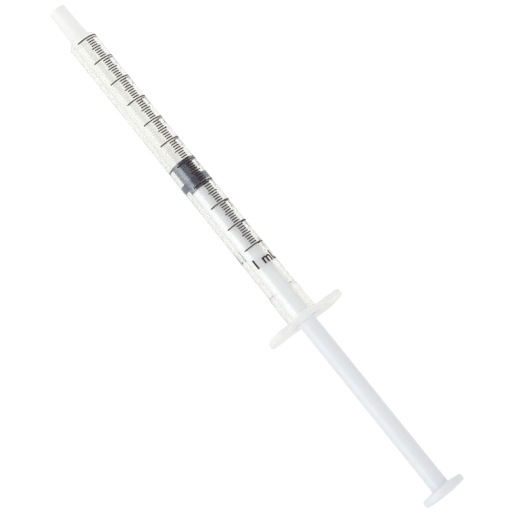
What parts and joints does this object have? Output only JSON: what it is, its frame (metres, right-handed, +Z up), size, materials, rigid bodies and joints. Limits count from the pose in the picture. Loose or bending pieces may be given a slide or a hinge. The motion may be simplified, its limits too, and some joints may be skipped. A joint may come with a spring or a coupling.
{
  "type": "oral syringe",
  "caption": "Slim graduated syringe with a tapered slip nozzle, clear barrel with finger flange, rubber stopper and round plunger rod with a thumb pad.",
  "frame": {"origin": "under the middle of the syringe's length, on the surface that it lies on, with its plunger drawn to 0.585 mL", "axes": "+X along the syringe from the nozzle to the thumb pad, +Y along the finger flange, +Z up, square to the flange's flats"},
  "size_m": [0.1332, 0.0188, 0.0106],
  "materials": {
    "clear_plastic": "clear, slightly milky, moulded",
    "rubber": "smooth, semi-gloss",
    "white_plastic": "satin, moulded",
    "ink": "printed, matt"
  },
  "bodies": {
    "barrel": {"barrel": "clear_plastic", "scale_lines_long": "ink", "scale_lines_medium": "ink", "scale_lines_short": "ink", "scale_numerals": "ink", "volume_mark": "ink"},
    "stopper": {"stopper": "rubber"},
    "plunger": {"plunger_rod": "white_plastic"}
  },
  "joints": [
    {"name": "plunger_slide", "type": "slide", "parent": "barrel", "child": "stopper", "axis": [1, 0, 0], "range_m": [-0.0337, 0.0284]},
    {"name": "rod_twist", "type": "hinge", "parent": "stopper", "child": "plunger", "pos_m": [-0.01927, 0, 0.0053], "axis": [1, 0, 0], "continuous": true}
  ]
}
